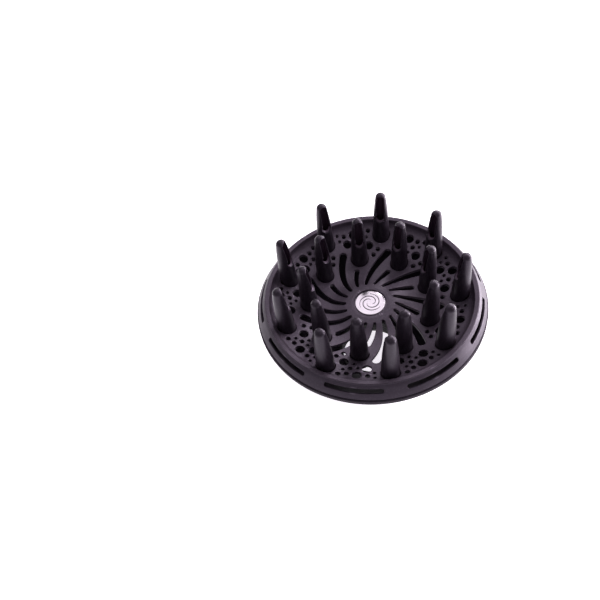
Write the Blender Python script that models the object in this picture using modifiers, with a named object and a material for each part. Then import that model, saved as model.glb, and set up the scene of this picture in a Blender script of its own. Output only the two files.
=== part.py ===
"""Dryer diffuser: a push-on bowl with eighteen air fingers for a hair dryer's nozzle.

Metres, +Z up along the air path. The origin is the centre of the neck's rear face, so
the part stands upright on its neck, and outer finger 1 lies on the +Y side.
"""

import math

import bmesh
import bpy
from mathutils import Matrix, Vector

MM = 0.001
GAP = 0.3                       # mm, running clearance between touching pieces

# Every length below is in millimetres. Profiles are (radius, height) pairs, and their
# heights are measured from the badge plane, which lies HUB_HEIGHT above the origin.
HUB_HEIGHT = 69.0
SECTORS = 9                     # the plate pattern repeats nine times round the axis
SECTOR = math.radians(360 / SECTORS)
START = math.radians(90)        # direction of outer finger 1, and of sector 1

# Dished plate: the upper face from the hub to the crest of its upturned edge
DISH = [(14.5, -0.2), (18.5, -1.0), (25, -2.8), (33, -3.15), (42, -1.6), (66.5, 6.5),
        (69.2, 9.2), (70.4, 12.7)]
PLATE_THICKNESS = 2.0
CREST_RADIUS = 72.1
CREST_HEIGHT = 12.7
FOOT_HEIGHT = 9.5               # underside of the crest, which rests on the rim ring
FOOT_WIDTH = 1.0
EDGE_UNDER = (69.6, 6.4)        # underside of the upturned edge
HUB_UNDER = -3.2

# Polished badge in the hub, held by a stud and a push nut behind the plate
BADGE_RADIUS = 10.8
BADGE_THICKNESS = 1.1
BADGE_CROWN = 0.35
STUD_RADIUS = 2.0
STUD_LENGTH = 4.6
HUB_RADIUS = 14.5
NUT_RADIUS = 5.5
NUT_THICKNESS = 0.6

# Swirl slots: eighteen tapered slots on one spiral, alternately long and short
SWIRL_START = math.radians(37.4)
SWIRL_TURN = math.radians(-0.832)   # per millimetre of radius
SLOT_INNER = 18.1
LONG_SLOT = (48.1, 1.15, 2.75)  # outer centre radius, inner and outer half width
SHORT_SLOT = (33.0, 1.0, 1.9)

# Round holes of one sector: radius from the axis, degrees past the finger, hole radius
BIG, MIDDLE, SMALL = 3.2, 1.65, 1.15
DRILL_REACH = 16                # how far the cutters run above and below the badge plane
HOLE_FACETS = {BIG: 8, MIDDLE: 6, SMALL: 5}
HOLES = [(52.8, 8.9, BIG), (62.5, 19.9, BIG), (56.0, 25.6, BIG),
         (50.0, 1.2, MIDDLE), (45.5, 4.8, MIDDLE), (64.4, 9.2, MIDDLE),
         (62.6, 13.8, MIDDLE), (57.3, 14.8, MIDDLE), (62.6, 26.4, MIDDLE),
         (59.6, 10.6, SMALL), (52.6, 16.3, SMALL), (56.0, 19.6, SMALL),
         (64.5, 30.6, SMALL), (59.8, 30.4, SMALL)]

# Air fingers: radius against height above the plate, and where the two rings stand
FINGER = [(3.65, 37.4), (4.95, 25.5), (6.1, 0)]
FINGER_HEIGHT = 40.5
FINGER_RISE = FINGER_HEIGHT - FINGER[0][1]      # of the rounded tip
FINGER_BORE = [(3.3, 25.5), (3.9, 0)]
FINGER_LEAN = math.radians(1.2)     # outwards
OUTER_RING = (61.4, 0.0)        # radius, degrees past the sector's start
INNER_RING = (42.8, 18.3)
BOSS_RADIUS = 7.8               # seat under the plate that backs a finger's flange
BOSS_DEPTH = 5.2
BOSS_COVER = 0.8                # plate left over the buried end of a boss
FLANGE_RADIUS = 7.5
FLANGE_THICKNESS = 1.2
SEAT_RADIUS = 6.7
AIR_SLOT = (18.6, 39.0, 2.7, 2.4)   # lower and upper end, lower and upper half width

# Rim ring: the slotted skirt round the plate
SKIRT = [(72.4, 12.7), (73.1, 12.5), (76.3, 8.1), (79.3, 3.1)]
SPIGOT_RADIUS = 77.7
SPIGOT_WIDTH = 1.4
SPIGOT_END = 0.9
SKIRT_INSIDE = [(75.9, 5.4), (74.6, 7.6)]
LEDGE_RADIUS = 71.3
VENT_CENTRE = (76.0, 8.4)       # radius and height of the middle of a vent slot
VENT_SLOPE = math.radians(-56)  # the skirt's slope there
VENT_WIDTH = 3.5
VENT_DEPTH = 8.0
VENT_SPAN = math.radians(29)
VENT_MIDDLE = math.radians(20)

# Rear shell: bowl and neck in one moulding
BAND_RADIUS = 80.0
BOWL_OUTSIDE = [(79.4, 2.8), (BAND_RADIUS, 2.2), (BAND_RADIUS, -0.4), (78.6, -3.4),
                (58.5, -26.6), (31.5, -51.8), (26.4, -59.5)]
BOWL_INSIDE = [(26.0, -56.5), (26.0, -54.8), (31.2, -49.4), (57.0, -25.2),
               (76.8, -2.6), (78.0, -0.4), (78.0, 2.8)]
NECK_RADIUS = 26.4
NECK_BORE = 24.3

# Nozzle collar: the sleeve inside the neck that grips the dryer's nozzle
COLLAR_BORE = 23.0
COLLAR_RADIUS = 24.0
COLLAR_TOP = -54.9
COLLAR_BOTTOM = -68.6
COLLAR_FLANGE = 25.6
COLLAR_FLANGE_THICKNESS = 1.3
GRIP_BEAD = 0.35                # how far the grip bead stands into the bore
BEAD_SPREAD = 1.0
LEAD_IN = 1.2

ROUND = 36                      # facets of the plate, the rim ring and the shell
COLLAR_FACETS = 24              # the badge too
NUT_FACETS = 16
FINGER_FACETS = 10


def clear_scene():
    """Remove what the file opened with."""
    for obj in list(bpy.data.objects):
        bpy.data.objects.remove(obj, do_unlink=True)


def collection(name):
    group = bpy.data.collections.new(name)
    bpy.context.scene.collection.children.link(group)
    return group


def material(name, colour, roughness, metallic=0.0):
    mat = bpy.data.materials.new(name)
    mat.use_nodes = True
    shader = mat.node_tree.nodes["Principled BSDF"]
    shader.inputs["Base Color"].default_value = (*colour, 1.0)
    shader.inputs["Roughness"].default_value = roughness
    shader.inputs["Metallic"].default_value = metallic
    return mat


def add_object(name, mesh, group, mat=None):
    obj = bpy.data.objects.new(name, mesh)
    group.objects.link(obj)
    if mat is not None:
        mesh.materials.append(mat)
    return obj


def as_cutter(obj):
    obj.hide_render = True
    obj.display_type = "WIRE"
    return obj


def lift(points):
    """Profile points given from the badge plane, as points above the origin."""
    return [(radius, height + HUB_HEIGHT) for radius, height in points]


def turned(name, profile, facets, group, mat=None):
    """A closed profile in millimetres turned about +Z."""
    mesh = bpy.data.meshes.new(name)
    verts = [(radius * MM, 0.0, height * MM) for radius, height in profile]
    edges = [(i, (i + 1) % len(verts)) for i in range(len(verts))]
    mesh.from_pydata(verts, edges, [])
    obj = add_object(name, mesh, group, mat)
    screw = obj.modifiers.new("Turn", "SCREW")
    screw.axis = "Z"
    screw.angle = 2 * math.pi
    screw.steps = facets
    screw.render_steps = facets
    screw.use_merge_vertices = True
    screw.merge_threshold = 0.00001
    return obj


def boolean(obj, tool, operation):
    cut = obj.modifiers.new(operation.title(), "BOOLEAN")
    cut.operation = operation
    cut.object = tool
    cut.solver = "EXACT"


def baked_mesh(obj, name):
    """The object's evaluated mesh, with its modifiers applied."""
    bpy.context.view_layer.update()
    graph = bpy.context.evaluated_depsgraph_get()
    mesh = bpy.data.meshes.new_from_object(obj.evaluated_get(graph))
    mesh.name = name
    return mesh


def shade(mesh, angle=35):
    mesh.shade_smooth()
    mesh.set_sharp_from_angle(angle=math.radians(angle))


def polar(radius, angle):
    """A point in the XY plane, angle measured from sector 1's outer finger."""
    return Vector((radius * math.cos(START + angle), radius * math.sin(START + angle)))


def dish_height(radius):
    """Height of the plate's upper face at a radius, from the badge plane."""
    for (r0, z0), (r1, z1) in zip(DISH, DISH[1:]):
        if radius <= r1:
            return z0 + (z1 - z0) * (radius - r0) / (r1 - r0)
    return DISH[-1][1]


def prism_from_outline(outline, low, high):
    """A 2D outline in millimetres as a closed prism between two heights, as a bmesh."""
    curve = bpy.data.curves.new("outline", "CURVE")
    curve.dimensions = "2D"
    curve.fill_mode = "BOTH"
    curve.extrude = (high - low) / 2 * MM
    spline = curve.splines.new("POLY")
    spline.points.add(len(outline) - 1)
    for point, (x, y) in zip(spline.points, outline):
        point.co = (x * MM, y * MM, 0.0, 1.0)
    spline.use_cyclic_u = True
    holder = bpy.data.objects.new("outline", curve)
    bpy.context.scene.collection.objects.link(holder)
    holder.location.z = (high + low) / 2 * MM
    mesh = baked_mesh(holder, "outline")
    prism = bmesh.new()
    prism.from_mesh(mesh)
    bmesh.ops.remove_doubles(prism, verts=prism.verts, dist=0.00001)
    bmesh.ops.transform(prism, matrix=holder.matrix_world, verts=prism.verts)
    bmesh.ops.recalc_face_normals(prism, faces=prism.faces)
    bpy.data.objects.remove(holder)
    bpy.data.curves.remove(curve)
    bpy.data.meshes.remove(mesh)
    return prism


def append_copy(target, source, matrix):
    """Add a bmesh to another, moved by a matrix."""
    mesh = bpy.data.meshes.new("copy")
    source.to_mesh(mesh)
    mesh.transform(matrix)
    target.from_mesh(mesh)
    bpy.data.meshes.remove(mesh)


def cylinder_into(target, centre, radius, low, high, facets):
    """Add a closed vertical cylinder, sizes in millimetres, and return its vertices."""
    middle = Vector((centre.x, centre.y, (low + high) / 2)) * MM
    made = bmesh.ops.create_cone(target, cap_ends=True, segments=facets,
                                 radius1=radius * MM, radius2=radius * MM,
                                 depth=(high - low) * MM,
                                 matrix=Matrix.Translation(middle))
    return made["verts"]


def swirl_outline(end_radius, inner_half, outer_half, start_angle, stations=5, cap=3):
    """Outline of one tapered slot with round ends, wound along the spiral."""
    centres = []
    halves = []
    for i in range(stations):
        t = i / (stations - 1)
        radius = SLOT_INNER + (end_radius - SLOT_INNER) * t
        centres.append(polar(radius, start_angle + SWIRL_TURN * (radius - SLOT_INNER)))
        halves.append(inner_half + (outer_half - inner_half) * t ** 0.8)
    left = []
    right = []
    for i, (centre, half) in enumerate(zip(centres, halves)):
        ahead = (centres[min(i + 1, stations - 1)] - centres[max(i - 1, 0)]).normalized()
        side = Vector((-ahead.y, ahead.x)) * half
        left.append(centre + side)
        right.append(centre - side)

    def round_end(centre, edge, turn):
        spoke = edge - centre
        steps = (Matrix.Rotation(turn * math.pi * k / cap, 2) for k in range(1, cap))
        return [centre + step @ spoke for step in steps]

    outer_end = round_end(centres[-1], left[-1], -1)
    inner_end = round_end(centres[0], right[0], -1)
    return left + outer_end + right[::-1] + inner_end


def finger_places():
    """Name, seat centre and direction of each finger."""
    for ring, (radius, turn) in (("outer", OUTER_RING), ("inner", INNER_RING)):
        for k in range(SECTORS):
            angle = math.radians(turn) + k * SECTOR
            yield f"{ring}_finger_{k + 1}", radius, angle


def plate_cutters(group):
    """Every hole of the plate: swirl slots, round holes and finger seats."""
    low = HUB_HEIGHT - DRILL_REACH
    high = HUB_HEIGHT + DRILL_REACH
    tool = bmesh.new()
    long_slot = prism_from_outline(
        swirl_outline(*LONG_SLOT, SWIRL_START + SECTOR / 2), low, high)
    short_slot = prism_from_outline(
        swirl_outline(*SHORT_SLOT, SWIRL_START, stations=3), low, high)
    for k in range(SECTORS):
        turn = Matrix.Rotation(k * SECTOR, 4, "Z")
        append_copy(tool, long_slot, turn)
        append_copy(tool, short_slot, turn)
        for radius, degrees, hole in HOLES:
            centre = polar(radius, math.radians(degrees) + k * SECTOR)
            cylinder_into(tool, centre, hole, low, high, HOLE_FACETS[hole])
    for _, radius, angle in finger_places():
        cylinder_into(tool, polar(radius, angle), SEAT_RADIUS, low, high, 12)
    long_slot.free()
    short_slot.free()
    mesh = bpy.data.meshes.new("plate_holes")
    tool.to_mesh(mesh)
    tool.free()
    return as_cutter(add_object("plate_holes", mesh, group))


def plate_bosses(group):
    """Seats behind the plate, one for each finger."""
    tool = bmesh.new()
    for _, radius, angle in finger_places():
        seat = HUB_HEIGHT + dish_height(radius)
        slope = (dish_height(radius + 5) - dish_height(radius - 5)) / 10
        boss = cylinder_into(tool, polar(radius, angle), BOSS_RADIUS,
                             seat - BOSS_DEPTH, seat - BOSS_COVER, 10)
        for vert in boss:
            if vert.co.z > (seat - PLATE_THICKNESS) * MM:
                vert.co.z += slope * (vert.co.xy.length - radius * MM)
    mesh = bpy.data.meshes.new("plate_bosses")
    tool.to_mesh(mesh)
    tool.free()
    return as_cutter(add_object("plate_bosses", mesh, group))


def front_grille(parts, cutters, mat):
    """The dished plate with its swirl slots, round holes and upturned edge."""
    stud_hole = STUD_RADIUS + GAP
    recess = BADGE_RADIUS + GAP
    floor = -BADGE_THICKNESS - GAP
    under = [(radius, height - PLATE_THICKNESS) for radius, height in DISH[2:6]]
    crest = [(CREST_RADIUS, CREST_HEIGHT), (CREST_RADIUS, FOOT_HEIGHT),
             (CREST_RADIUS - FOOT_WIDTH, FOOT_HEIGHT), EDGE_UNDER]
    hub = [(HUB_RADIUS, HUB_UNDER), (stud_hole, HUB_UNDER), (stud_hole, floor),
           (recess, floor), (recess, DISH[0][1])]
    profile = crest + under[::-1] + hub + DISH
    plate = turned("front_grille", lift(profile), ROUND, parts, mat)
    boolean(plate, plate_bosses(cutters), "UNION")
    boolean(plate, plate_cutters(cutters), "DIFFERENCE")
    return plate


def badge(parts, mat, nut_mat):
    """The crowned badge with its stud, and the push nut that holds the stud."""
    stud_end = -BADGE_THICKNESS - STUD_LENGTH
    profile = [(0, BADGE_CROWN), (6.5, BADGE_CROWN * 0.7), (10.2, 0.0),
               (BADGE_RADIUS, -0.3), (BADGE_RADIUS, -BADGE_THICKNESS),
               (STUD_RADIUS, -BADGE_THICKNESS), (STUD_RADIUS, stud_end), (0, stud_end)]
    turned("badge_disc", lift(profile), COLLAR_FACETS, parts, mat)
    top = HUB_UNDER - GAP
    low = top - NUT_THICKNESS
    bore = STUD_RADIUS + GAP
    nut = [(NUT_RADIUS, top), (NUT_RADIUS, low), (bore, low), (bore, top)]
    turned("badge_push_nut", lift(nut), NUT_FACETS, parts, nut_mat)


def vent_cutters(group):
    """Nine curved slots through the skirt, each a rectangle spun round the axis."""
    along = Vector((math.cos(VENT_SLOPE), 0, math.sin(VENT_SLOPE))) * VENT_WIDTH / 2
    across = Vector((-math.sin(VENT_SLOPE), 0, math.cos(VENT_SLOPE))) * VENT_DEPTH / 2
    centre = Vector((VENT_CENTRE[0], 0, VENT_CENTRE[1] + HUB_HEIGHT))
    tool = bmesh.new()
    for k in range(SECTORS):
        corners = [centre + a * along + b * across
                   for a, b in ((1, 1), (1, -1), (-1, -1), (-1, 1))]
        face = tool.faces.new([tool.verts.new(corner * MM) for corner in corners])
        begin = START + VENT_MIDDLE + k * SECTOR - VENT_SPAN / 2
        bmesh.ops.rotate(tool, verts=face.verts, matrix=Matrix.Rotation(begin, 3, "Z"))
        bmesh.ops.spin(tool, geom=[face, *face.edges, *face.verts], axis=(0, 0, 1),
                       cent=(0, 0, 0), angle=VENT_SPAN, steps=4)
    bmesh.ops.recalc_face_normals(tool, faces=tool.faces)
    mesh = bpy.data.meshes.new("rim_vents")
    tool.to_mesh(mesh)
    tool.free()
    return as_cutter(add_object("rim_vents", mesh, group))


def rim_ring(parts, cutters, mat):
    """The slotted skirt, with a ledge for the plate and a spigot for the shell."""
    ledge_top = FOOT_HEIGHT - GAP
    ledge_low = SKIRT_INSIDE[-1][1]
    inside = SPIGOT_RADIUS - SPIGOT_WIDTH
    spigot = [(SPIGOT_RADIUS, SKIRT[-1][1]), (SPIGOT_RADIUS, SPIGOT_END),
              (inside, SPIGOT_END)]
    ledge = [(LEDGE_RADIUS, ledge_low), (LEDGE_RADIUS, ledge_top),
             (SKIRT[0][0], ledge_top)]
    profile = SKIRT + spigot + SKIRT_INSIDE + ledge
    ring = turned("rim_ring", lift(profile), ROUND, parts, mat)
    boolean(ring, vent_cutters(cutters), "DIFFERENCE")
    return ring


def rear_shell(parts, mat):
    """The bowl and the neck that slips over the dryer's nozzle."""
    rear = -HUB_HEIGHT
    profile = BOWL_OUTSIDE + [(NECK_RADIUS, rear), (NECK_BORE, rear),
                              (NECK_BORE, BOWL_INSIDE[0][1])] + BOWL_INSIDE
    return turned("rear_shell", lift(profile), ROUND, parts, mat)


def nozzle_collar(parts, mat):
    """The sleeve in the neck, with a top flange, a grip bead and a lead-in."""
    flange_low = COLLAR_TOP - COLLAR_FLANGE_THICKNESS
    middle = (COLLAR_TOP + COLLAR_BOTTOM) / 2
    profile = [(COLLAR_FLANGE, COLLAR_TOP), (COLLAR_FLANGE, flange_low),
               (COLLAR_RADIUS, flange_low), (COLLAR_RADIUS, COLLAR_BOTTOM),
               (COLLAR_BORE + LEAD_IN / 2, COLLAR_BOTTOM),
               (COLLAR_BORE, COLLAR_BOTTOM + LEAD_IN),
               (COLLAR_BORE, middle - BEAD_SPREAD), (COLLAR_BORE - GRIP_BEAD, middle),
               (COLLAR_BORE, middle + BEAD_SPREAD), (COLLAR_BORE, COLLAR_TOP)]
    return turned("nozzle_collar", lift(profile), COLLAR_FACETS, parts, mat)


def finger_mesh(cutters):
    """One hollow finger standing on the plate at the origin, its air slot towards -X."""
    tip_centre = FINGER[0][1]
    tip = [(FINGER[0][0] * math.sin(a), tip_centre + FINGER_RISE * math.cos(a))
           for a in (0, math.radians(50))]
    flange_top = -BOSS_DEPTH - GAP
    flange_low = flange_top - FLANGE_THICKNESS
    flange = [(FINGER[-1][0], flange_top), (FLANGE_RADIUS, flange_top),
              (FLANGE_RADIUS, flange_low)]
    inside = [(FINGER_BORE[-1][0], flange_low), FINGER_BORE[0], (0, tip_centre)]
    profile = tip + FINGER + flange + inside
    body = turned("finger_body", profile, FINGER_FACETS, cutters)
    boolean(body, air_slot_cutter(cutters), "DIFFERENCE")
    mesh = baked_mesh(body, "finger")
    bpy.data.objects.remove(body)
    shade(mesh)
    return mesh


def air_slot_cutter(group):
    """A tapered slot with round ends, cut into a finger's -X side."""
    low, high, low_half, high_half = AIR_SLOT
    outline = []
    for end, half, turn in ((high, high_half, 1), (low, low_half, -1)):
        for k in range(4):
            angle = math.pi * k / 3
            outline.append((end - turn * half * (1 - math.sin(angle)),
                            turn * half * math.cos(angle)))
    slot = prism_from_outline(outline, 1.0, FLANGE_RADIUS)
    upright = Matrix.Rotation(math.radians(-90), 4, "Y")
    bmesh.ops.transform(slot, matrix=upright, verts=slot.verts)
    bmesh.ops.recalc_face_normals(slot, faces=slot.faces)
    mesh = bpy.data.meshes.new("air_slot")
    slot.to_mesh(mesh)
    slot.free()
    return as_cutter(add_object("air_slot", mesh, group))


def fingers(parts, cutters, mat):
    """Two rings of nine fingers, each with its air slot towards the badge."""
    mesh = finger_mesh(cutters)
    mesh.materials.append(mat)
    for name, radius, angle in finger_places():
        centre = polar(radius, angle)
        finger = bpy.data.objects.new(name, mesh)
        parts.objects.link(finger)
        seat = HUB_HEIGHT + dish_height(radius)
        finger.location = (centre.x * MM, centre.y * MM, seat * MM)
        finger.rotation_euler = (0.0, FINGER_LEAN, START + angle)


def main():
    clear_scene()
    parts = collection("dryer_diffuser")
    cutters = collection("cutters")
    plate_plastic = material("matte_charcoal_plastic", (0.035, 0.032, 0.038), 0.5)
    shell_plastic = material("satin_black_plastic", (0.018, 0.017, 0.02), 0.38)
    finger_plastic = material("gloss_black_plastic", (0.01, 0.01, 0.012), 0.3)
    rubber = material("black_rubber", (0.015, 0.015, 0.015), 0.75)
    polished = material("polished_metal", (0.86, 0.86, 0.88), 0.08, 1.0)
    spring_steel = material("spring_steel", (0.5, 0.5, 0.52), 0.35, 1.0)
    front_grille(parts, cutters, plate_plastic)
    badge(parts, polished, spring_steel)
    rim_ring(parts, cutters, shell_plastic)
    rear_shell(parts, shell_plastic)
    nozzle_collar(parts, rubber)
    fingers(parts, cutters, finger_plastic)


main()
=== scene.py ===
import math

import bmesh
import bpy
from mathutils import Matrix, Vector


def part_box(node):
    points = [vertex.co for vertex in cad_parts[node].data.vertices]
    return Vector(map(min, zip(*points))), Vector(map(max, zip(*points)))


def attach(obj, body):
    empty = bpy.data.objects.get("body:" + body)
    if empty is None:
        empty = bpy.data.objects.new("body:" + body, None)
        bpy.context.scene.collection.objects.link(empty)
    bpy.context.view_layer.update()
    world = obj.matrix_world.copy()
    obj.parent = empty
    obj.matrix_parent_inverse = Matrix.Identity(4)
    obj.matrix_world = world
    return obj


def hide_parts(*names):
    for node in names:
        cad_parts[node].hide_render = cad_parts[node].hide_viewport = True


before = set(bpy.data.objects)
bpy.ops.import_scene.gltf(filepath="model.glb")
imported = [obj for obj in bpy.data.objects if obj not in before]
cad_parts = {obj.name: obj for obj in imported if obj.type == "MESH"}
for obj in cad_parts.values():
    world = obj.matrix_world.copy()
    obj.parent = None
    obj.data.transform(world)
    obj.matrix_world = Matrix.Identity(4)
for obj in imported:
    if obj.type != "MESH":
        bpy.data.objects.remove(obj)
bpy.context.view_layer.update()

MM = 0.001

# ------------------------------------------------------------------ sizes
# Millimetres. Profiles are lists of (radius, height), with heights from the badge plane.
# A third number in a point is the radius of the rounding at that corner.
BADGE_CROWN = 0.35
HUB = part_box("badge_disc")[1].z / MM - BADGE_CROWN      # the badge plane's height
RIM_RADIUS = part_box("rear_shell")[1].x / MM
SECTORS = 9
SECTOR = math.radians(360 / SECTORS)
START = math.radians(90)        # direction of outer finger 1

PLATE_SEGMENTS = 216
ROUND_SEGMENTS = 180            # rim and shell
SMALL_SEGMENTS = 144            # collar and badge
NUT_SEGMENTS = 72
FINGER_SEGMENTS = 64

HUB_EDGE = (14.5, -0.2)         # where the flat hub turns into the dish
HUB_BACK = -3.2
BADGE_SEAT_RADIUS = 11.5        # the recess that the badge lies in
BADGE_SEAT_FLOOR = -1.4
STUD_HOLE_RADIUS = 2.3
DISH = [HUB_EDGE, (18, -0.8), (22, -2.0), (27, -3.05), (33, -3.15), (42, -1.6),
        (50, 0.9), (60, 4.1), (65, 5.9), (67.5, 7.1), (69.1, 8.8), (69.9, 11.3)]
PLATE_THICKNESS = 2.0
UNDERSIDE = (24, 66)            # the radii between which the underside follows the dish
CREST_PROFILE = [(66.6, 4.4, 0), (69.9, 6.6, 1.2), (71.1, 9.5, 0.25), (72.1, 9.5, 0.2),
                 (72.1, 12.0, 0.1), (73.0, 12.0, 0.15), (73.0, 12.7, 0.22),
                 (72.5, 12.57, 0), (71.6, 12.33, 0), (70.65, 12.08, 0),
                 (70.15, 11.95, 0.2), (69.9, 11.3, 0)]
CUT_DEPTH = 9                   # how far the plate's cutters reach below the badge plane

SWIRL_START = math.radians(37.4)
SWIRL_TURN = math.radians(-0.832)   # per millimetre of radius
SLOT_INNER = 18.1
LONG_SLOT = (48.1, 1.15, 2.75)      # outer centre radius, inner and outer half width
SHORT_SLOT = (33.0, 1.0, 1.9)
BIG, MIDDLE, SMALL = 3.2, 1.65, 1.15
# Round holes of one sector: radius, degrees past the sector's start, size.
HOLES = [(52.8, 8.9, BIG), (62.5, 19.9, BIG), (56.0, 25.6, BIG),
         (50.0, 1.2, MIDDLE), (45.5, 4.8, MIDDLE), (64.4, 9.2, MIDDLE),
         (62.6, 13.8, MIDDLE), (57.3, 14.8, MIDDLE), (62.6, 26.4, MIDDLE),
         (59.6, 10.6, SMALL), (52.6, 16.3, SMALL), (56.0, 19.6, SMALL),
         (64.5, 30.6, SMALL), (59.8, 30.4, SMALL)]
HOLE_EDGE = 0.3                 # radius of the rounded edges of slots and holes

# A finger's own heights start where it leaves the plate.
OUTER_RING = (61.4, 0.0)        # radius, degrees past the sector's start
INNER_RING = (42.8, 18.3)
FINGER = [(3.65, 37.4), (4.2, 33.3), (4.8, 27.3), (5.15, 22.7), (5.42, 18.5), (5.82, 11),
          (6.05, 4), (6.1, 0)]  # from the start of the tip down
FINGER_HEIGHT = 40.5
FINGER_LEAN = math.radians(1.2)
BORE_RADIUS = 3.9
BORE = [(BORE_RADIUS, -4), (3.85, 8), (3.7, 20), (3.3, 29), (2.7, 35), (1.6, 37.8),
        (0, 38.5)]
SHANK = [(6.1, -5.5, 0), (7.5, -5.5, 0.3), (7.5, -6.7, 0.3), (BORE_RADIUS, -6.7, 0.3),
         (BORE_RADIUS, 0, 0)]   # the end that passes through the plate, with its flange
AIR_SLOT = (18.9, 39.3, 2.7, 2.5)   # lower and upper end, lower and upper half width
AIR_SLOT_EDGES = (1.6, 0.45)    # size of the chamfer at the lower end and up the sides
SEAT_RADIUS = 6.5
SEAT_EDGE = 0.35
BOSS_RADIUS = 7.8
BOSS_DEPTH = 5.2
BOSS_OVERLAP = 0.8              # how far a boss is sunk into the plate

SKIRT = [(73.2, 12.25), (74.7, 10.5), (76.3, 8.1), (77.9, 5.6)]
SKIRT_FOOT = (79.3, 3.1)
RIM_TOP = [(72.4, 11.8, 0.1), (73.1, 11.8, 0.1)]
RIM_BACK = [(77.7, 3.1, 0.1), (77.7, 0.9, 0.3), (76.6, 0.9, 0.3), (76.5, 5.6, 0.8),
            (75.2, 7.6, 0.5), (71.3, 7.6, 0.3), (71.3, 9.2, 0.2), (72.4, 9.2, 0.1)]
VENT_CENTRE = (76.0, 8.55)
VENT_SLOPE = math.radians(-56)
VENT_WIDTH = 3.4
VENT_SPAN = math.radians(29)
VENT_EDGE = 0.18
VENT_DEPTH = 5.0

BOWL_OUTSIDE = [(78.6, -3.4), (70.5, -13.2), (58.5, -26.6), (44.5, -39.8),
                (32.5, -50.8), (28.6, -55.2), (26.8, -59.5)]
BOWL_INSIDE = [(26.3, -54.4), (31.2, -49.4), (43.1, -38.7), (57.0, -25.2),
               (68.9, -12.5), (76.4, -4.0)]
BOWL_LIP = [(77.9, -1.6, 0.6), (77.9, 2.8, 0.2), (79.3, 2.8, 0.2),
            (RIM_RADIUS, 2.2, 0.3), (RIM_RADIUS, -0.6, 0.8)]
NECK = [(26.4, -62.0, 0), (26.4, -69.0, 0.5), (24.3, -69.0, 0.4), (24.3, -56.5, 0),
        (26.0, -56.5, 0), (26.0, -54.8, 0)]
COLLAR_BORE = 23.0
COLLAR_TOP = -54.9
COLLAR_OUTSIDE = [(25.6, COLLAR_TOP, 0.3), (25.6, -56.2, 0.2), (24.0, -56.2, 0.1),
                  (24.0, -68.6, 0.3), (23.5, -68.6, 0.2), (COLLAR_BORE, -67.4, 0.5)]
COLLAR_RIBS = (-65.0, -62.0, -59.0)
RIB_RADIUS = 22.65
RIB_HALF_WIDTH = 0.8

BADGE_RADIUS = 10.4
BADGE_THICKNESS = 1.1
BADGE_FACE = [(0, BADGE_CROWN), (4, 0.31), (8, 0.15), (9.75, 0.02)]
STUD_RADIUS = 2.0
STUD_LENGTH = 4.6
NUT_RADIUS = 5.5
NUT_TOP = HUB_BACK - 0.3
STROKES = 3
STROKE_TURN = math.radians(250)
STROKE_START = 2.2              # radius where a stroke of the badge's relief begins
STROKE_REACH = 5.6
STROKE_WIDTH = 0.45
STROKE_HEIGHT = 0.4
STROKE_SINK = 0.1

# ------------------------------------------------------------------ camera
# The view's direction, and how far the badge lies from the middle of the view.
CAMERA_AZIMUTH = math.radians(20.43)
CAMERA_ELEVATION = math.radians(51.57)
CAMERA_ROLL = math.radians(-11.01)
CAMERA_DISTANCE = 434.97
BADGE_RIGHT = 49.39
BADGE_UP = -1.76
LENS = 37.1
SENSOR_WIDTH = 36.0


# ------------------------------------------------------------------ mesh tools
def lift(points):
    """Profile points given from the badge plane, as points above the origin."""
    return [Vector((radius, height + HUB)) for radius, height in points]


def rotated(vector, angle):
    return Matrix.Rotation(angle, 2) @ vector


def fillet(corners, step=math.radians(15)):
    """A closed outline whose corners, given as (x, y, radius), are rounded with arcs."""
    out = []
    for i, (x, y, radius) in enumerate(corners):
        here = Vector((x, y))
        if radius == 0:
            out.append(here)
            continue
        back = (Vector(corners[i - 1][:2]) - here).normalized()
        ahead = (Vector(corners[(i + 1) % len(corners)][:2]) - here).normalized()
        turn = math.pi - back.angle(ahead)
        centre = here + (back + ahead).normalized() * radius / math.cos(turn / 2)
        spoke = here + back * radius * math.tan(turn / 2) - centre
        side = -1 if back.cross(ahead) > 0 else 1
        steps = max(2, math.ceil(turn / step))
        out += [centre + rotated(spoke, side * turn * k / steps)
                for k in range(steps + 1)]
    return out


def smooth(points, spacing):
    """A soft curve through the points, in steps of about the spacing."""
    knots = [Vector(point) for point in points]
    spans = [(b - a).length for a, b in zip(knots, knots[1:])]
    slopes = [(b - a) / span for a, b, span in zip(knots, knots[1:], spans)]
    tangents = [slopes[0]]
    for i in range(1, len(slopes)):
        weighted = slopes[i - 1] * spans[i] + slopes[i] * spans[i - 1]
        tangents.append(weighted / (spans[i - 1] + spans[i]))
    tangents.append(slopes[-1])
    out = []
    for i, span in enumerate(spans):
        steps = max(1, math.ceil(span / spacing))
        for k in range(steps):
            t = k / steps
            out.append(knots[i] * (2 * t ** 3 - 3 * t ** 2 + 1)
                       + knots[i + 1] * (3 * t ** 2 - 2 * t ** 3)
                       + tangents[i] * span * (t ** 3 - 2 * t ** 2 + t)
                       + tangents[i + 1] * span * (t ** 3 - t ** 2))
    return out + [knots[-1]]


def height_on(line, radius):
    """Height of a profile line at a radius."""
    for a, b in zip(line, line[1:]):
        if radius <= b[0]:
            return a[1] + (b[1] - a[1]) * (radius - a[0]) / (b[0] - a[0])
    return line[-1][1]


def polar(radius, angle):
    """A point in the XY plane, angle measured from outer finger 1."""
    return Vector((radius * math.cos(START + angle), radius * math.sin(START + angle)))


def face_outward(bm, faces):
    """Turn the faces of one closed shell so that they all look out of it."""
    bmesh.ops.recalc_face_normals(bm, faces=faces)
    middle = sum((face.calc_center_median() for face in faces), Vector()) / len(faces)
    volume = sum((face.calc_center_median() - middle).dot(face.normal)
                 * face.calc_area() for face in faces)
    if volume < 0:
        bmesh.ops.reverse_faces(bm, faces=faces)


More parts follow.
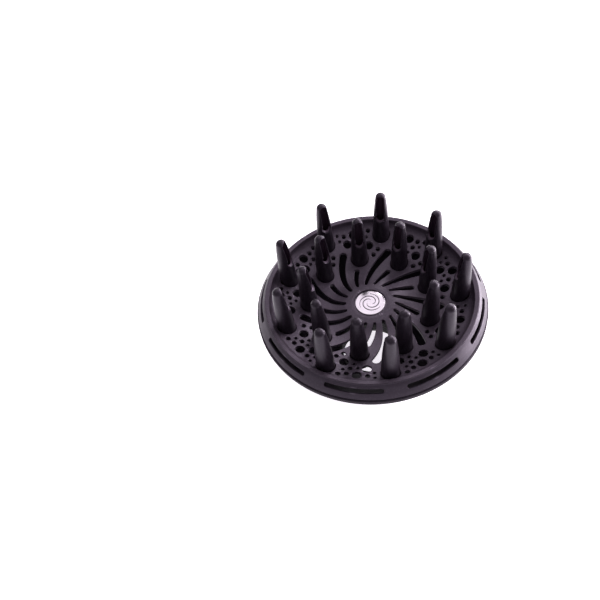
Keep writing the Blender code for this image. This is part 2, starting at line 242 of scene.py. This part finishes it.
def lathe_into(bm, profile, segments):
    """Add a closed profile in millimetres, turned about +Z."""
    rings = []
    faces = []
    for radius, height in profile:
        count = segments if radius > 1e-6 else 1
        rings.append([bm.verts.new((radius * math.cos(math.tau * k / count) * MM,
                                    radius * math.sin(math.tau * k / count) * MM,
                                    height * MM)) for k in range(count)])
    for a, b in zip(rings, rings[1:] + rings[:1]):
        if len(a) + len(b) == 2:
            continue
        for k in range(segments):
            j = (k + 1) % segments
            corners = (a[k % len(a)], a[j % len(a)], b[j % len(b)], b[k % len(b)])
            faces.append(bm.faces.new(dict.fromkeys(corners)))
    face_outward(bm, faces)


def bridge(bm, rings):
    """Join rings of vertices into a tube, and close its ends."""
    faces = []
    for a, b in zip(rings, rings[1:]):
        for k in range(len(a)):
            j = (k + 1) % len(a)
            faces.append(bm.faces.new((a[k], a[j], b[j], b[k])))
    faces += [bm.faces.new(rings[0]), bm.faces.new(rings[-1])]
    face_outward(bm, faces)


def finished_mesh(bm, name):
    mesh = bpy.data.meshes.new(name)
    bm.to_mesh(mesh)
    bm.free()
    return mesh


def add_object(name, mesh, mat=None):
    obj = bpy.data.objects.new(name, mesh)
    bpy.context.scene.collection.objects.link(obj)
    if mat is not None:
        mesh.materials.append(mat)
    return obj


def turned(name, profile, segments, mat):
    bm = bmesh.new()
    lathe_into(bm, profile, segments)
    return add_object(name, finished_mesh(bm, name), mat)


def divided(outline, spacing):
    """A closed outline with points added at no more than the spacing."""
    out = []
    for a, b in zip(outline, outline[1:] + outline[:1]):
        steps = max(1, math.ceil((b - a).length / spacing))
        out += [a.lerp(b, k / steps) for k in range(steps)]
    return out


def normals_of(outline):
    """Outward normals at the points of a closed outline."""
    area = sum(a.cross(b) for a, b in zip(outline, outline[1:] + outline[:1]))
    side = 1 if area > 0 else -1
    out = []
    for i, point in enumerate(outline):
        along = (outline[(i + 1) % len(outline)] - outline[i - 1]).normalized()
        out.append(Vector((along.y, -along.x)) * side)
    return out


def cutter_into(bm, outline, surface, bottom, edges, chamfer=False):
    """Add a cutter with this outline whose mouth is flared, so that the hole's edge is
    rounded, or chamfered. surface(u, v, height) and bottom(u, v) give points in
    millimetres, and edges is the size of the worked edge at each point."""
    normals = normals_of(outline)
    first = math.radians(20)    # the angle of the rounding at which the flare begins
    mouth = 0.5                 # length of the flare
    lid = 3.2                   # height of the cutter's flat end, clear of a curved wall
    steps = 5
    slope, belly = 1.6, 0.2     # a chamfer's depth for its width, and its slight curve

    def ring(offset, height):
        points = []
        for point, normal, edge in zip(outline, normals, edges):
            moved = point + normal * offset(edge)
            points.append(bm.verts.new(surface(*moved, height(edge)) * MM))
        return points

    def flare(edge):
        return edge * (1 - math.sin(first)) + mouth * math.cos(first)

    rings = [ring(flare, lambda e: lid),
             ring(flare, lambda e: e * (math.cos(first) - 1) + mouth * math.sin(first))]
    for k in range(steps + 1):
        t = first + (math.pi / 2 - first) * k / steps
        out = 1 - math.sin(t)
        if chamfer:
            down = slope * (out - 1 + belly * out * (1 - out))
        else:
            down = math.cos(t) - 1
        rings.append(ring(lambda e: e * out, lambda e: e * down))
    rings.append([bm.verts.new(bottom(*point) * MM) for point in outline])
    bridge(bm, rings)


def circle(centre, radius, count):
    return [centre + rotated(Vector((radius, 0)), math.tau * k / count)
            for k in range(count)]


def cut(obj, tool, operation="DIFFERENCE"):
    """Cut a mesh out of an object, or join it on, and drop the tool."""
    cutter = add_object("cutter", tool)
    modifier = obj.modifiers.new("Cut", "BOOLEAN")
    modifier.operation = operation
    modifier.object = cutter
    modifier.solver = "EXACT"
    graph = bpy.context.evaluated_depsgraph_get()
    mesh = bpy.data.meshes.new_from_object(obj.evaluated_get(graph))
    obj.modifiers.clear()
    obj.data = mesh
    bpy.data.objects.remove(cutter)


def shade(mesh, degrees=19):
    """Smooth shading, with sharp edges where faces meet at more than the angle."""
    mesh.shade_smooth()
    mesh.set_sharp_from_angle(angle=math.radians(degrees))


def place(piece, slot, *nodes):
    """Hand a finished piece to the frame."""
    shade(piece.data)
    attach(piece, "root")
    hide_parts(*nodes)


# ------------------------------------------------------------------ materials
def node_material(name):
    mat = bpy.data.materials.new(name)
    mat.use_nodes = True
    tree = mat.node_tree
    return mat, tree, tree.nodes["Principled BSDF"]


def noise(tree, coordinates, scale, detail=3.0, roughness=0.55):
    node = tree.nodes.new("ShaderNodeTexNoise")
    node.inputs["Scale"].default_value = scale
    node.inputs["Detail"].default_value = detail
    node.inputs["Roughness"].default_value = roughness
    tree.links.new(coordinates, node.inputs["Vector"])
    return node.outputs["Fac"]


def spread(tree, value, low, high, from_low=0.3, from_high=0.7):
    """Map a value from one range to another, and hold it at the ends."""
    node = tree.nodes.new("ShaderNodeMapRange")
    node.inputs["From Min"].default_value = from_low
    node.inputs["From Max"].default_value = from_high
    node.inputs["To Min"].default_value = low
    node.inputs["To Max"].default_value = high
    tree.links.new(value, node.inputs["Value"])
    return node.outputs["Result"]


def mix(tree, factor, first, second):
    """Mix two colours, each given as a tuple or as a socket."""
    node = tree.nodes.new("ShaderNodeMix")
    node.data_type = "RGBA"
    tree.links.new(factor, node.inputs["Factor"])
    for socket, colour in ((node.inputs["A"], first), (node.inputs["B"], second)):
        if isinstance(colour, tuple):
            socket.default_value = (*colour, 1.0)
        else:
            tree.links.new(colour, socket)
    return node.outputs["Result"]


def bump(tree, shader, height, distance):
    node = tree.nodes.new("ShaderNodeBump")
    node.inputs["Strength"].default_value = 1.0
    node.inputs["Distance"].default_value = distance
    tree.links.new(height, node.inputs["Height"])
    tree.links.new(node.outputs["Normal"], shader.inputs["Normal"])


def math_node(tree, operation, *values):
    """One arithmetic step, on numbers or sockets."""
    node = tree.nodes.new("ShaderNodeMath")
    node.operation = operation
    for socket, value in zip(node.inputs, values):
        if isinstance(value, float):
            socket.default_value = value
        else:
            tree.links.new(value, socket)
    return node.outputs["Value"]


def bore_mask(tree, coordinates):
    """1 on the wall of a finger's bore and 0 on its outside: inside a cone that narrows
    upwards between the two, about the leaning axis, and below the tip."""
    narrowing = 0.1             # of the cone's radius, per unit of height
    shank = 1.7 * MM            # the least narrowing, which keeps the foot outside
    cone_from, cone_to = 6.5 * MM, 6.7 * MM         # the cone's radius, as a soft limit
    tip_from, tip_to = 38.6 * MM, 38.9 * MM
    split = tree.nodes.new("ShaderNodeSeparateXYZ")
    tree.links.new(coordinates, split.inputs["Vector"])
    x, y, z = split.outputs
    across = math_node(tree, "MULTIPLY_ADD", z, -math.tan(FINGER_LEAN), x)
    squares = math_node(tree, "MULTIPLY_ADD", y, y, math_node(tree, "POWER", across, 2.0))
    radius = math_node(tree, "SQRT", squares)
    taper = math_node(tree, "MAXIMUM", math_node(tree, "MULTIPLY", z, narrowing), shank)
    cone = math_node(tree, "ADD", radius, taper)
    inside = spread(tree, cone, 1.0, 0.0, cone_from, cone_to)
    below = spread(tree, z, 1.0, 0.0, tip_from, tip_to)
    return math_node(tree, "MULTIPLY", inside, below)


def plastic(name, colour, worn, edges, roughness, grain, depth, specular, bore=None):
    """Moulded plastic: a sparked grain, cloudy gloss, a painted highlight with some wear
    on convex edges, painted shade in concave corners, and a lighter colour painted inside
    a finger's bore for the light that falls in there. worn is the colour of the specks,
    grain the noise's scale and depth its relief in metres."""
    highlight_from, highlight_full = 0.525, 0.61              # pointiness, which is 0.5 on a flat
    painted_shade_full, painted_shade_from = 0.42, 0.485
    mat, tree, shader = node_material(name)
    where = tree.nodes.new("ShaderNodeTexCoord").outputs["Object"]
    clouds = noise(tree, where, 45.0, 4.0)
    specks = noise(tree, where, grain * 0.45, 2.0)
    fine = noise(tree, where, grain, 3.0, 0.6)
    darker = tuple(channel * 0.8 for channel in colour)
    body = mix(tree, spread(tree, clouds, 0.0, 1.0), darker, colour)
    body = mix(tree, spread(tree, specks, 0.0, 0.35, 0.52, 0.72), body, worn)
    edge = tree.nodes.new("ShaderNodeNewGeometry").outputs["Pointiness"]
    # Convex edges get a painted highlight in the edges colour, partly also edge wear.
    body = mix(tree, spread(tree, edge, 0.0, 0.75, highlight_from, highlight_full), body, edges)
    # Concave corners get painted shade, a darker copy of the colour.
    corner_shade_colour = tuple(channel * 0.3 for channel in colour)
    body = mix(tree, spread(tree, edge, 0.8, 0.0, painted_shade_full, painted_shade_from), body, corner_shade_colour)
    # The bore's wall gets a lighter colour that paints in the light falling into it.
    if bore is not None:
        body = mix(tree, bore_mask(tree, where), body, bore)
    tree.links.new(body, shader.inputs["Base Color"])
    gloss = spread(tree, clouds, roughness - 0.05, roughness + 0.06)
    tree.links.new(gloss, shader.inputs["Roughness"])
    shader.inputs["Specular IOR Level"].default_value = specular
    shader.inputs["Specular Tint"].default_value = (0.93, 0.8, 1.0, 1.0)
    bump(tree, shader, fine, depth)
    return mat


def rubber(name):
    mat, tree, shader = node_material(name)
    where = tree.nodes.new("ShaderNodeTexCoord").outputs["Object"]
    dust = noise(tree, where, 160.0, 5.0)
    fine = noise(tree, where, 2600.0, 2.0)
    colour = mix(tree, spread(tree, dust, 0.0, 0.5), (0.012, 0.012, 0.013),
                 (0.03, 0.029, 0.028))
    tree.links.new(colour, shader.inputs["Base Color"])
    tree.links.new(spread(tree, dust, 0.6, 0.8), shader.inputs["Roughness"])
    bump(tree, shader, fine, 0.00003)
    return mat


def metal(name, colour, roughness, stretch):
    """Metal with fine lines along the stretched directions and faint smudges."""
    mat, tree, shader = node_material(name)
    where = tree.nodes.new("ShaderNodeTexCoord").outputs["Object"]
    mapping = tree.nodes.new("ShaderNodeMapping")
    mapping.inputs["Scale"].default_value = stretch
    tree.links.new(where, mapping.inputs["Vector"])
    lines = noise(tree, mapping.outputs["Vector"], 1500.0, 2.0)
    smudges = noise(tree, where, 220.0, 4.0)
    darker = tuple(channel * 0.86 for channel in colour)
    tree.links.new(mix(tree, spread(tree, smudges, 0.0, 1.0), darker, colour),
                   shader.inputs["Base Color"])
    shader.inputs["Metallic"].default_value = 1.0
    tree.links.new(spread(tree, smudges, roughness, roughness * 1.8),
                   shader.inputs["Roughness"])
    bump(tree, shader, lines, 0.000002)
    return mat


# ------------------------------------------------------------------ front plate
DISH_LINE = smooth(DISH, 0.8)


def swirl_outline(end_radius, inner_half, outer_half, start_angle, stations=22, cap=10):
    """Outline of one tapered slot with round ends, wound along the spiral."""
    centres = []
    halves = []
    for i in range(stations):
        t = i / (stations - 1)
        radius = SLOT_INNER + (end_radius - SLOT_INNER) * t
        centres.append(polar(radius, start_angle + SWIRL_TURN * (radius - SLOT_INNER)))
        halves.append(inner_half + (outer_half - inner_half) * t ** 0.8)
    left = []
    right = []
    for i, (centre, half) in enumerate(zip(centres, halves)):
        ahead = centres[min(i + 1, stations - 1)] - centres[max(i - 1, 0)]
        side = rotated(ahead.normalized(), math.pi / 2) * half
        left.append(centre + side)
        right.append(centre - side)

    def round_end(centre, edge):
        return [centre + rotated(edge - centre, -math.pi * k / cap)
                for k in range(1, cap)]

    return (left + round_end(centres[-1], left[-1]) + right[::-1]
            + round_end(centres[0], right[0]))


def finger_places():
    """Name, ring radius and direction of each finger."""
    for ring, (radius, turn) in (("outer", OUTER_RING), ("inner", INNER_RING)):
        for k in range(SECTORS):
            yield f"{ring}_finger_{k + 1}", radius, math.radians(turn) + k * SECTOR


def plate_profile():
    """The recess's wall and the hub, the dish, the crest, the underside, and the hub's
    back with the stud's hole and the floor of the recess."""
    near, far = UNDERSIDE
    under = [(radius, height - PLATE_THICKNESS) for radius, height in DISH_LINE
             if near < radius < far]
    crest = fillet(CREST_PROFILE)
    hub = fillet([(BADGE_SEAT_RADIUS, BADGE_SEAT_FLOOR, 0.1), (BADGE_SEAT_RADIUS, 0, 0.1),
                  (13.4, 0, 0.6), (*HUB_EDGE, 0)])
    stem = fillet([(HUB_EDGE[0], HUB_BACK, 0), (STUD_HOLE_RADIUS, HUB_BACK, 0.2),
                   (STUD_HOLE_RADIUS, BADGE_SEAT_FLOOR, 0.2),
                   (BADGE_SEAT_RADIUS, BADGE_SEAT_FLOOR, 0)])
    return hub[:-1] + DISH_LINE[:-1] + crest[::-1] + under[::-1] + stem[:-1]


def on_dish(x, y, height):
    return Vector((x, y, HUB + height_on(DISH_LINE, math.hypot(x, y)) + height))


def under_dish(x, y):
    return Vector((x, y, HUB - CUT_DEPTH))


def front_plate(mat):
    """The plate with a boss behind each finger, and its slots, holes and seats cut."""
    plate = turned("swirl_plate", lift(plate_profile()), PLATE_SEGMENTS, mat)
    bosses = bmesh.new()
    for _, radius, angle in finger_places():
        outline = circle(polar(radius, angle), BOSS_RADIUS, 40)
        low = HUB + height_on(DISH_LINE, radius) - BOSS_DEPTH
        top = [bosses.verts.new(on_dish(x, y, -BOSS_OVERLAP) * MM) for x, y in outline]
        end = [bosses.verts.new(Vector((x, y, low)) * MM) for x, y in outline]
        bridge(bosses, [top, end])
    cut(plate, finished_mesh(bosses, "bosses"), "UNION")
    tool = bmesh.new()
    for k in range(SECTORS):
        outlines = [swirl_outline(*LONG_SLOT, SWIRL_START + SECTOR * (k + 0.5)),
                    swirl_outline(*SHORT_SLOT, SWIRL_START + SECTOR * k, 14, 8)]
        for radius, degrees, hole in HOLES:
            centre = polar(radius, math.radians(degrees) + k * SECTOR)
            outlines.append(circle(centre, hole, 36 if hole == BIG else 24))
        for outline in outlines:
            edges = [HOLE_EDGE] * len(outline)
            cutter_into(tool, outline, on_dish, under_dish, edges)
    for _, radius, angle in finger_places():
        outline = circle(polar(radius, angle), SEAT_RADIUS, 56)
        cutter_into(tool, outline, on_dish, under_dish, [SEAT_EDGE] * len(outline))
    cut(plate, finished_mesh(tool, "plate_cutters"))
    place(plate, "plate_plastic", "front_grille")


# ------------------------------------------------------------------ fingers
FINGER_LINE = smooth(FINGER[::-1], 0.9)     # from the foot to the start of the tip


def finger_radius(height):
    """Radius of the finger's outside at a height above the plate."""
    for a, b in zip(FINGER_LINE, FINGER_LINE[1:]):
        if height <= b[1]:
            return a[0] + (b[0] - a[0]) * (height - a[1]) / (b[1] - a[1])
    tip_radius, tip_centre = FINGER[0]
    t = min(1.0, (height - tip_centre) / (FINGER_HEIGHT - tip_centre))
    return tip_radius * math.sqrt(1 - t * t)


def air_slot_outline():
    low, high, low_half, high_half = AIR_SLOT
    roundness = 0.92            # of a full half circle at each end
    low_corner = low_half * roundness
    high_corner = high_half * roundness
    return divided(fillet([(-low_half, low, low_corner), (low_half, low, low_corner),
                           (high_half, high, high_corner),
                           (-high_half, high, high_corner)], math.radians(9)), 1.0)


def finger_mesh(mat):
    """One finger standing on the plate at the origin, its air slot towards -X."""
    tip_radius, tip_centre = FINGER[0]
    rise = FINGER_HEIGHT - tip_centre
    tip = [Vector((tip_radius * math.cos(a), tip_centre + rise * math.sin(a)))
           for a in (math.radians(9) * k for k in range(1, 10))]
    profile = ([Vector((0, FINGER_HEIGHT))] + tip[::-1] + FINGER_LINE[::-1]
               + fillet(SHANK)[:-1] + smooth(BORE, 2.0))
    body = turned("finger_body", profile, FINGER_SEGMENTS, mat)

    def side(u, v, height):
        radius = finger_radius(v)
        return Vector((-math.sqrt(max(0.0, radius ** 2 - u ** 2)) - height, u, v))

    def inside(u, v):
        return Vector((-1.0, u, v))

    outline = air_slot_outline()
    low, high = AIR_SLOT[:2]
    wide, narrow = AIR_SLOT_EDGES
    fade = 0.2 * (high - low)   # the height over which the chamfer narrows
    edges = [wide - (wide - narrow) * min(1.0, (point.y - low) / fade)
             for point in outline]
    tool = bmesh.new()
    cutter_into(tool, outline, side, inside, edges, chamfer=True)
    cut(body, finished_mesh(tool, "air_slot"))
    mesh = body.data
    mesh.transform(Matrix.Rotation(FINGER_LEAN, 4, "Y"))
    bpy.data.objects.remove(body)
    return mesh


def fingers(mat):
    mesh = finger_mesh(mat)
    for name, radius, angle in finger_places():
        centre = polar(radius, angle)
        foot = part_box(name)[1].z / MM - FINGER_HEIGHT
        piece = add_object(name.replace("finger", "air_finger"), mesh)
        piece.location = Vector((*centre, foot)) * MM
        piece.rotation_euler = (0.0, 0.0, START + angle)
        place(piece, "finger_plastic", name)


# ------------------------------------------------------------------ rim, shell, collar
def sharp(points):
    """Points of a curve, as corners without rounding."""
    return [(x, y, 0) for x, y in points]


def rim(mat):
    skirt = smooth(SKIRT + [SKIRT_FOOT], 0.6)[:-1]
    profile = fillet([*RIM_TOP, *sharp(skirt), (*SKIRT_FOOT, 0.25), *RIM_BACK])
    ring = turned("vented_rim", lift(profile), ROUND_SEGMENTS, mat)
    centre_radius = VENT_CENTRE[0]
    along = Vector((math.cos(VENT_SLOPE), math.sin(VENT_SLOPE)))
    out = Vector((-math.sin(VENT_SLOPE), math.cos(VENT_SLOPE)))

    def on_skirt(u, v, height):
        point = Vector(VENT_CENTRE) + along * v + out * height
        flat = polar(point.x, u / centre_radius)
        return Vector((*flat, point.y + HUB))

    half_length = VENT_SPAN * centre_radius / 2
    half_width = VENT_WIDTH / 2
    corner = half_width * 0.8
    tool = bmesh.new()
    for k in range(SECTORS):
        middle = SECTOR * (k + 0.5) * centre_radius
        rounded = fillet([(middle - half_length, -half_width, corner),
                          (middle + half_length, -half_width, corner),
                          (middle + half_length, half_width, corner),
                          (middle - half_length, half_width, corner)])
        outline = divided(rounded, 1.5)
        cutter_into(tool, outline, on_skirt, lambda u, v: on_skirt(u, v, -VENT_DEPTH),
                    [VENT_EDGE] * len(outline))
    cut(ring, finished_mesh(tool, "vents"))
    place(ring, "rim_plastic", "rim_ring")


def shell(mat):
    """The bowl with its neck: the lip, down the outside, the neck, and up the inside."""
    corners = (BOWL_LIP + sharp(smooth(BOWL_OUTSIDE, 1.6)) + NECK
               + sharp(smooth(BOWL_INSIDE, 1.6)))
    body = turned("bowl_shell", lift(fillet(corners)), ROUND_SEGMENTS, mat)
    place(body, "shell_plastic", "rear_shell")


def collar(mat):
    """The sleeve in the neck: a top flange, a ribbed bore and a lead-in."""
    corners = list(COLLAR_OUTSIDE)
    for height in COLLAR_RIBS:
        corners += [(COLLAR_BORE, height - RIB_HALF_WIDTH, 0.2), (RIB_RADIUS, height, 0.3),
                    (COLLAR_BORE, height + RIB_HALF_WIDTH, 0.2)]
    corners.append((COLLAR_BORE, COLLAR_TOP, 0.4))
    sleeve = turned("grip_collar", lift(fillet(corners)), SMALL_SEGMENTS, mat)
    place(sleeve, "collar_rubber", "nozzle_collar")


# ------------------------------------------------------------------ badge
def badge(mat, relief, steel):
    """The crowned disc with its stud, the relief on it, and the push nut behind."""
    stud_end = -BADGE_THICKNESS - STUD_LENGTH
    face = smooth(BADGE_FACE, 0.8)
    rest = fillet([(*BADGE_FACE[-1], 0), (BADGE_RADIUS, -0.1, 0.12),
                   (BADGE_RADIUS, -BADGE_THICKNESS, 0.15),
                   (STUD_RADIUS, -BADGE_THICKNESS, 0.2), (STUD_RADIUS, stud_end, 0.4),
                   (0, stud_end, 0)])
    disc = turned("badge", lift(face[:-1] + rest), SMALL_SEGMENTS, mat)
    place(disc, "badge_metal", "badge_disc")
    motif(relief)
    spring = fillet([(NUT_RADIUS, NUT_TOP - 0.3, 0.1), (NUT_RADIUS, NUT_TOP - 0.6, 0.1),
                     (STUD_HOLE_RADIUS, NUT_TOP - 0.45, 0.05),
                     (STUD_HOLE_RADIUS, NUT_TOP, 0.05)])
    nut = turned("push_nut", lift(spring), NUT_SEGMENTS, steel)
    place(nut, "nut_steel", "badge_push_nut")


def motif(mat):
    """Raised strokes that turn outwards from the badge's centre, like moving air."""
    bm = bmesh.new()
    sides = 10
    stations = 40
    for k in range(STROKES):
        rings = []
        for i in range(stations):
            t = i / (stations - 1)
            angle = math.tau * k / STROKES + STROKE_TURN * t
            radius = STROKE_START + STROKE_REACH * t ** 0.8
            centre = polar(radius, angle)
            across = polar(1, angle)
            height = HUB + BADGE_CROWN * (1 - (radius / BADGE_RADIUS) ** 2) - STROKE_SINK
            width = STROKE_WIDTH * math.sin(math.pi * (0.06 + 0.9 * t)) ** 0.6
            ring = []
            for side in range(sides):
                turn = math.tau * side / sides
                flat = centre + across * math.cos(turn) * width
                point = Vector((*flat, height + math.sin(turn) * STROKE_HEIGHT))
                ring.append(bm.verts.new(point * MM))
            rings.append(ring)
        bridge(bm, rings)
    swirl = add_object("badge_swirl", finished_mesh(bm, "badge_swirl"), mat)
    shade(swirl.data, 50)
    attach(swirl, "root")


# ------------------------------------------------------------------ studio
FLOOR_RADIUS = 4.0              # metres
FLOOR_DROP = 0.4 * MM           # the gap between the neck and the floor
LAMP_TINT = (1.0, 0.94, 1.0)
SKY_TINT = (1.0, 0.95, 1.0)
FLOOR_TINT = (0.98, 0.93, 1.0)


def floor():
    """A pale floor that glows a little, so that it stays white."""
    bm = bmesh.new()
    bmesh.ops.create_circle(bm, cap_ends=True, segments=96, radius=FLOOR_RADIUS,
                            matrix=Matrix.Translation((0, 0, -FLOOR_DROP)))
    mat, tree, shader = node_material("pale_floor")
    where = tree.nodes.new("ShaderNodeTexCoord").outputs["Object"]
    mottle = noise(tree, where, 6.0, 3.0)
    colour = mix(tree, mottle, (0.86, 0.86, 0.87), (0.9, 0.9, 0.9))
    tree.links.new(colour, shader.inputs["Base Color"])
    shader.inputs["Roughness"].default_value = 0.9
    shader.inputs["Emission Color"].default_value = (*FLOOR_TINT, 1.0)
    shader.inputs["Emission Strength"].default_value = 0.84
    add_object("floor", finished_mesh(bm, "floor"), mat)


def area_light(name, azimuth, elevation, distance, size, power, colour):
    """A soft light that faces the badge. Its azimuth runs from the -Y side towards +X,
    in degrees, and its distance and size are in metres."""
    light = bpy.data.lights.new(name, "AREA")
    light.shape = "RECTANGLE"
    light.size, light.size_y = size
    light.energy = power
    light.color = colour
    obj = bpy.data.objects.new(name, light)
    bpy.context.scene.collection.objects.link(obj)
    a = math.radians(azimuth)
    e = math.radians(elevation)
    back = Vector((math.sin(a) * math.cos(e), -math.cos(a) * math.cos(e), math.sin(e)))
    target = Vector((0, 0, HUB * MM))
    obj.location = target + back * distance
    obj.rotation_mode = "QUATERNION"
    obj.rotation_quaternion = (-back).to_track_quat("-Z", "Y")


def studio():
    """Key lights on the right and behind, one soft light overhead, and an even fill."""
    scene = bpy.context.scene
    world = bpy.data.worlds.new("studio")
    world.use_nodes = True
    background = world.node_tree.nodes["Background"]
    background.inputs["Color"].default_value = (*SKY_TINT, 1.0)
    background.inputs["Strength"].default_value = 0.46
    scene.world = world
    scene.view_settings.view_transform = "Standard"
    scene.view_settings.look = "None"
    area_light("key_right", 118, 22, 0.7, (0.5, 0.4), 3.5, LAMP_TINT)
    area_light("low_right", 113, -4, 0.5, (0.5, 0.045), 2.8, LAMP_TINT)
    area_light("key_back", 152, 28, 0.7, (0.7, 0.3), 5.4, LAMP_TINT)
    area_light("back_top", 200, 58, 1.2, (1.3, 1.1), 4.7, SKY_TINT)


def camera():
    """The camera looks from the view's direction, with the badge off the middle."""
    data = bpy.data.cameras.new("camera")
    data.lens = LENS
    data.sensor_width = SENSOR_WIDTH
    data.clip_start = 0.01
    obj = bpy.data.objects.new("camera", data)
    bpy.context.scene.collection.objects.link(obj)
    back = Vector((0, -math.cos(CAMERA_ELEVATION), math.sin(CAMERA_ELEVATION)))
    right = Vector((1, 0, 0))
    up = back.cross(right)
    cosine = math.cos(CAMERA_ROLL)
    sine = math.sin(CAMERA_ROLL)
    view_right = right * cosine + up * sine
    view_up = up * cosine - right * sine
    spot = (back * CAMERA_DISTANCE - view_right * BADGE_RIGHT - view_up * BADGE_UP) * MM
    turn = Matrix((view_right, view_up, back)).transposed().to_4x4()
    round_axis = Matrix.Rotation(CAMERA_AZIMUTH, 4, "Z")
    lifted = Matrix.Translation((0, 0, HUB * MM))
    obj.matrix_world = lifted @ round_axis @ Matrix.Translation(spot) @ turn
    bpy.context.scene.camera = obj


# ------------------------------------------------------------------ assembly
def build():
    # edges is the colour of a painted edge highlight (partly edge wear); bore is a lighter
    # colour painted inside the finger's bore for the light falling in there.
    charcoal = plastic("charcoal_plastic", colour=(0.04, 0.03, 0.043),
                       worn=(0.087, 0.074, 0.093), edges=(0.185, 0.158, 0.2),
                       roughness=0.46, grain=1800.0, depth=0.000008, specular=0.5)
    satin = plastic("satin_plastic", colour=(0.022, 0.016, 0.0245),
                    worn=(0.05, 0.043, 0.055), edges=(0.09, 0.076, 0.098),
                    roughness=0.42, grain=2000.0, depth=0.000005, specular=0.4)
    frosted = plastic("frosted_plastic", colour=(0.011, 0.0078, 0.0125),
                      worn=(0.045, 0.036, 0.05), edges=(0.16, 0.135, 0.175),
                      roughness=0.36, grain=1800.0, depth=0.000004, specular=0.34,
                      bore=(0.055, 0.034, 0.055))
    matte = plastic("matte_plastic", colour=(0.014, 0.0105, 0.0155),
                    worn=(0.034, 0.029, 0.037), edges=(0.045, 0.038, 0.05),
                    roughness=0.6, grain=1500.0, depth=0.000012, specular=0.18)
    polished = metal("polished_metal", (0.67, 0.62, 0.68), 0.14, (1.0, 0.05, 1.0))
    darkened = metal("darkened_metal", (0.17, 0.155, 0.18), 0.3, (1.0, 0.2, 1.0))
    steel = metal("spring_steel", (0.55, 0.55, 0.57), 0.3, (1.0, 0.1, 1.0))
    front_plate(charcoal)
    fingers(frosted)
    rim(satin)
    shell(matte)
    collar(rubber("collar_rubber"))
    badge(polished, darkened, steel)


build()
floor()
studio()
camera()
